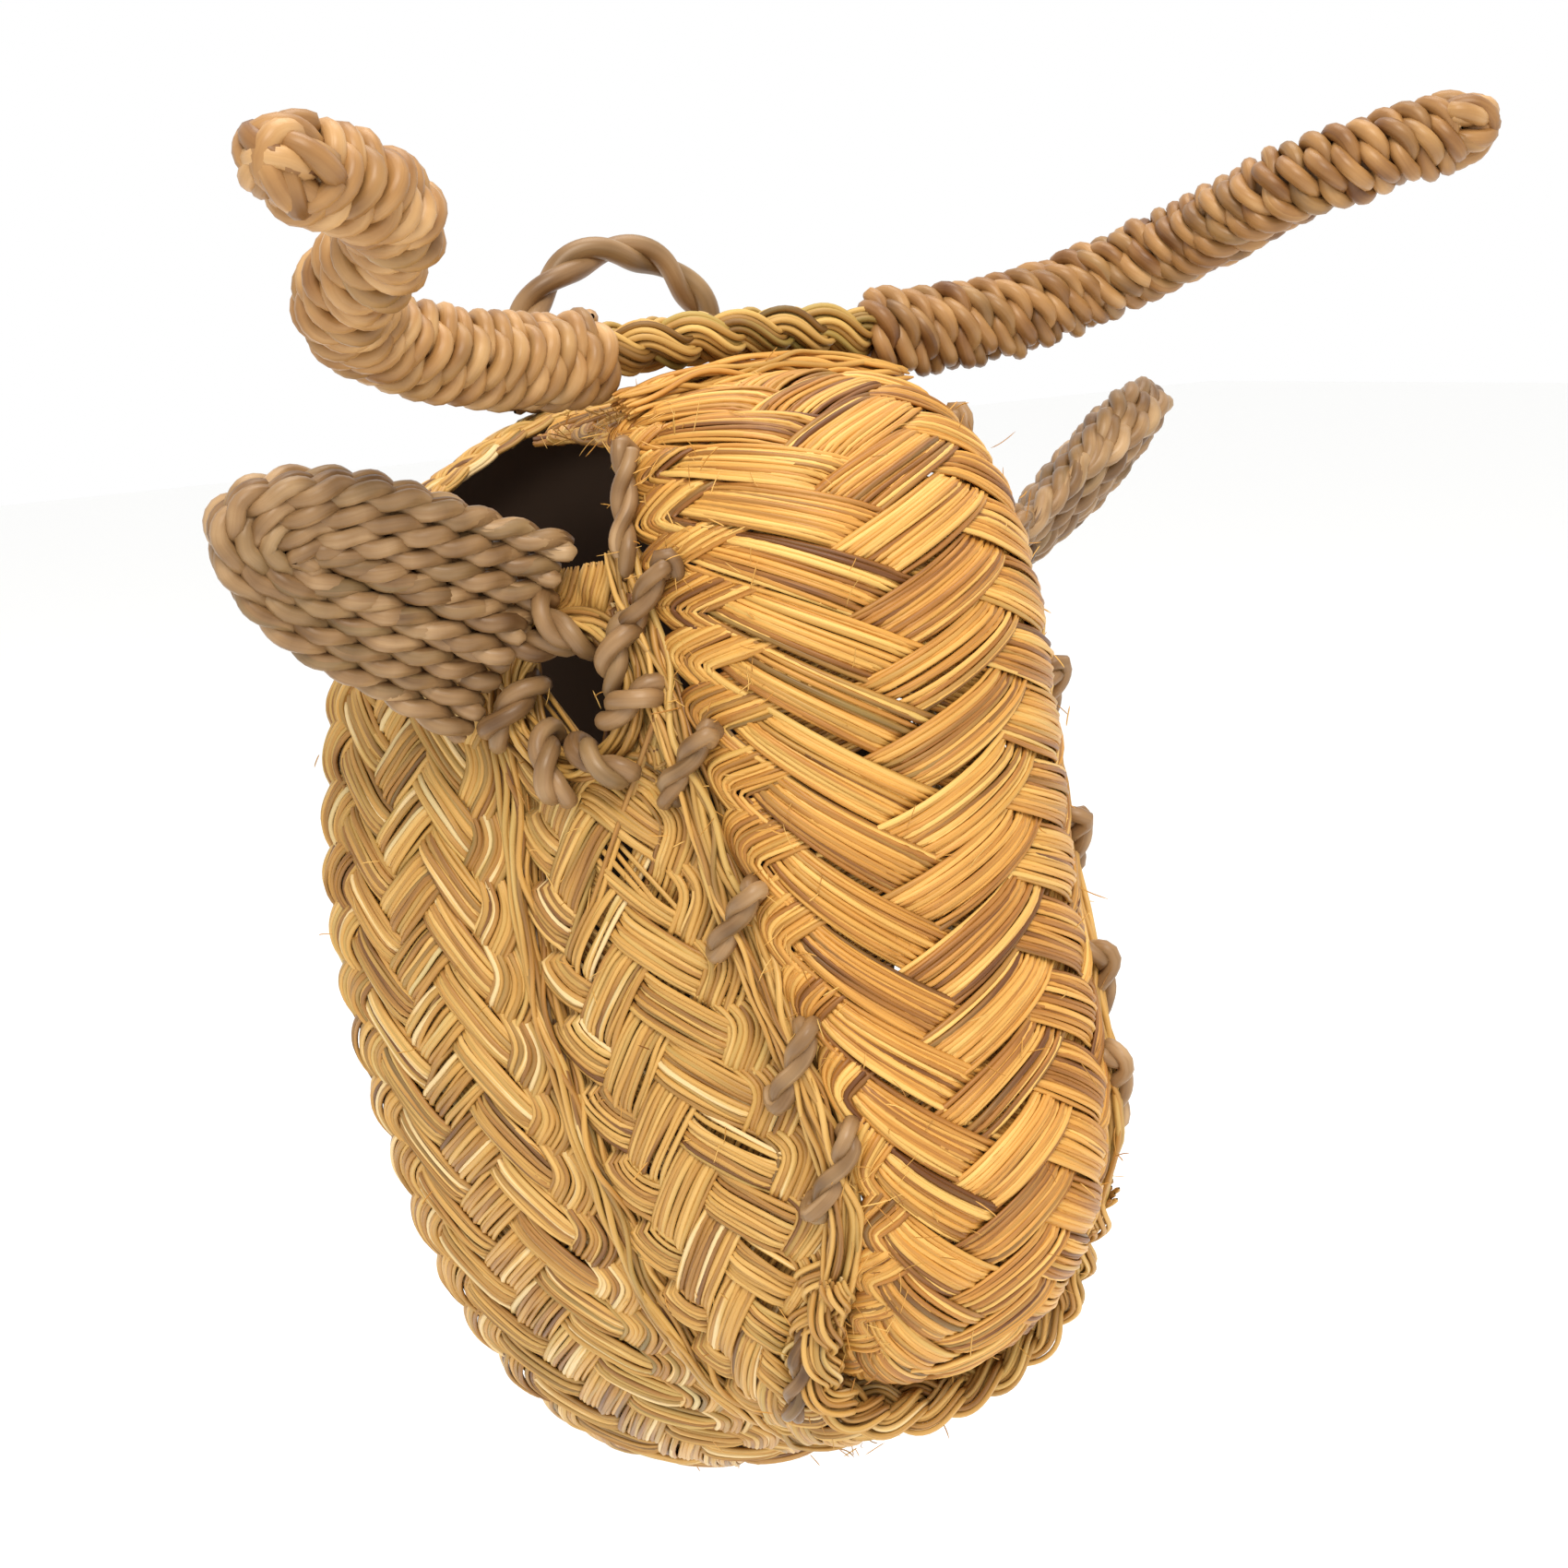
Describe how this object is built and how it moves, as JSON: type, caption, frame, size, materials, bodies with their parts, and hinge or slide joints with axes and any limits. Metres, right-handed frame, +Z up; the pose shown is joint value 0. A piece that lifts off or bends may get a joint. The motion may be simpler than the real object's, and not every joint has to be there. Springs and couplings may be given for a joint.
{
  "type": "plaited straw goat head",
  "caption": "Wall-hung goat head sewn from plaited straw strips, with cord-wrapped horns, cord ears, sewn eye holes and a hanging loop.",
  "frame": {"origin": "inside of the top of the hanging loop, on the wall plane", "axes": "+Z up, -Y the way the goat looks, +X the goat's left; the wall is the plane Y = 0"},
  "size_m": [0.2258, 0.1156, 0.2553],
  "materials": {
    "golden_straw": "dry golden plaited straw",
    "pale_straw": "dry pale plaited straw with green streaks",
    "green_straw": "greenish straw",
    "tan_cord": "smooth tan two-ply straw cord",
    "grey_cord": "grey-brown two-ply straw cord"
  },
  "bodies": {
    "head": {"nose_band": "golden_straw", "front_jaw_strip": "pale_straw", "rear_jaw_strip": "pale_straw", "rear_arch": "pale_straw", "crown_braid": "green_straw", "jaw_seam_cord": "green_straw", "horn_core_left": "green_straw", "horn_core_right": "green_straw", "horn_wrap_left": "tan_cord", "horn_wrap_right": "tan_cord", "horn_tip_left": "tan_cord", "horn_tip_right": "tan_cord", "ear_left": "grey_cord", "ear_right": "grey_cord", "ear_lashing_left": "grey_cord", "ear_lashing_right": "grey_cord", "eye_rim_left": "grey_cord", "eye_rim_right": "grey_cord", "mouth_stitch_left": "grey_cord", "mouth_stitch_right": "grey_cord", "seam_stitch_left_1": "grey_cord", "seam_stitch_left_2": "grey_cord", "seam_stitch_left_3": "grey_cord", "seam_stitch_left_4": "grey_cord", "seam_stitch_left_5": "grey_cord", "seam_stitch_left_6": "grey_cord", "seam_stitch_right_1": "grey_cord", "seam_stitch_right_2": "grey_cord", "seam_stitch_right_3": "grey_cord", "seam_stitch_right_4": "grey_cord", "seam_stitch_right_5": "grey_cord", "seam_stitch_right_6": "grey_cord", "loop_knot_left": "grey_cord", "loop_knot_right": "grey_cord"},
    "loop": {"hanging_loop": "grey_cord"}
  },
  "joints": [
    {"name": "loop_swing", "type": "hinge", "parent": "head", "child": "loop", "pos_m": [0, -0.004, -0.0154], "axis": [1, 0, 0], "range_deg": [-80, 70], "stiffness_Nm_per_rad": 0.02}
  ]
}
